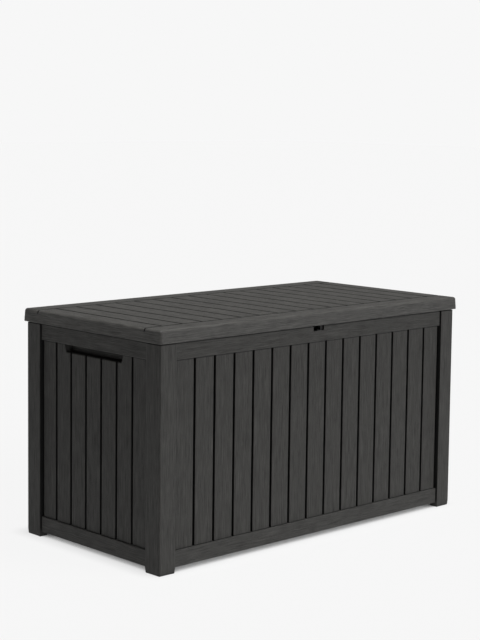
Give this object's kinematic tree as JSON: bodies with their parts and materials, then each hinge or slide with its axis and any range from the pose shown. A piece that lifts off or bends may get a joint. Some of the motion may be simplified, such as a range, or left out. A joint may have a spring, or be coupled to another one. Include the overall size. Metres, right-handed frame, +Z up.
{
  "type": "deck storage box",
  "caption": "Rectangular moulded resin garden chest with plank-look walls, corner posts and a hinged lid on gas struts, with grips and a padlock eye.",
  "frame": {"origin": "on the ground under the middle of the box", "axes": "+X along the length to the right, front faces -Y, +Z up"},
  "size_m": [1.18, 0.59, 0.64],
  "materials": {
    "wall_resin": "moulded with a fine upright wood grain",
    "post_resin": "moulded with a fine upright wood grain",
    "lid_resin": "moulded with a fine wood grain along each board",
    "inner_resin": "plain fine texture",
    "hinge_steel": "black powder coat",
    "pin_steel": "zinc plated",
    "screw_steel": "zinc plated",
    "strut_paint": "satin black paint",
    "strut_rod_chrome": "hard chrome",
    "socket_resin": "black nylon",
    "seal_rubber": "black",
    "bracket_steel": "black powder coat",
    "lock_steel": "black powder coat"
  },
  "bodies": {
    "chest": {"front_panel": "wall_resin", "rear_panel": "wall_resin", "floor_panel": "inner_resin", "left_side_panel": "wall_resin", "right_side_panel": "wall_resin", "front_left_post": "post_resin", "front_right_post": "post_resin", "rear_left_post": "post_resin", "rear_right_post": "post_resin", "corner_screws": "screw_steel", "left_hinge_bracket": "hinge_steel", "middle_hinge_bracket": "hinge_steel", "right_hinge_bracket": "hinge_steel", "left_hinge_pin": "pin_steel", "middle_hinge_pin": "pin_steel", "right_hinge_pin": "pin_steel", "hinge_body_screws": "screw_steel", "left_strut_lower_stud": "pin_steel", "right_strut_lower_stud": "pin_steel", "left_strut_wall_bracket": "bracket_steel", "right_strut_wall_bracket": "bracket_steel", "strut_wall_screws": "screw_steel", "lock_ear": "lock_steel", "lock_screws": "lock_steel"},
    "lid": {"lid_shell": "lid_resin", "lid_liner": "inner_resin", "lid_screws": "screw_steel", "left_hinge_arm": "hinge_steel", "middle_hinge_arm": "hinge_steel", "right_hinge_arm": "hinge_steel", "hinge_lid_screws": "screw_steel", "left_strut_upper_stud": "pin_steel", "right_strut_upper_stud": "pin_steel", "left_strut_lid_bracket": "bracket_steel", "right_strut_lid_bracket": "bracket_steel", "strut_lid_screws": "screw_steel", "lock_tongue": "lock_steel", "lock_tongue_screws": "lock_steel"},
    "left_strut_tube": {"left_strut_cylinder": "strut_paint", "left_strut_seal": "seal_rubber", "left_strut_lower_socket": "socket_resin"},
    "left_strut_ram": {"left_strut_rod": "strut_rod_chrome", "left_strut_piston": "pin_steel", "left_strut_upper_socket": "socket_resin"},
    "right_strut_tube": {"right_strut_cylinder": "strut_paint", "right_strut_seal": "seal_rubber", "right_strut_lower_socket": "socket_resin"},
    "right_strut_ram": {"right_strut_rod": "strut_rod_chrome", "right_strut_piston": "pin_steel", "right_strut_upper_socket": "socket_resin"}
  },
  "joints": [
    {"name": "lid_hinge", "type": "hinge", "parent": "chest", "child": "lid", "pos_m": [0, 0.2895, 0.598], "axis": [-1, 0, 0], "range_deg": [0, 90]},
    {"name": "left_strut_lower_ball", "type": "hinge", "parent": "chest", "child": "left_strut_tube", "pos_m": [-0.532, 0.2052, 0.36264], "axis": [-1, 0, 0], "range_deg": [0, 45]},
    {"name": "left_strut_upper_ball", "type": "hinge", "parent": "lid", "child": "left_strut_ram", "pos_m": [-0.532, 0.0397, 0.588], "axis": [-1, 0, 0], "range_deg": [-45, 0]},
    {"name": "right_strut_lower_ball", "type": "hinge", "parent": "chest", "child": "right_strut_tube", "pos_m": [0.532, 0.2052, 0.36264], "axis": [-1, 0, 0], "range_deg": [0, 45]},
    {"name": "right_strut_upper_ball", "type": "hinge", "parent": "lid", "child": "right_strut_ram", "pos_m": [0.532, 0.0397, 0.588], "axis": [-1, 0, 0], "range_deg": [-45, 0]}
  ],
  "couplings": [
    {"joint": "left_strut_lower_ball", "follows": "lid_hinge", "ratio": 0.5},
    {"joint": "left_strut_upper_ball", "follows": "lid_hinge", "ratio": -0.5},
    {"joint": "right_strut_lower_ball", "follows": "lid_hinge", "ratio": 0.5},
    {"joint": "right_strut_upper_ball", "follows": "lid_hinge", "ratio": -0.5}
  ]
}
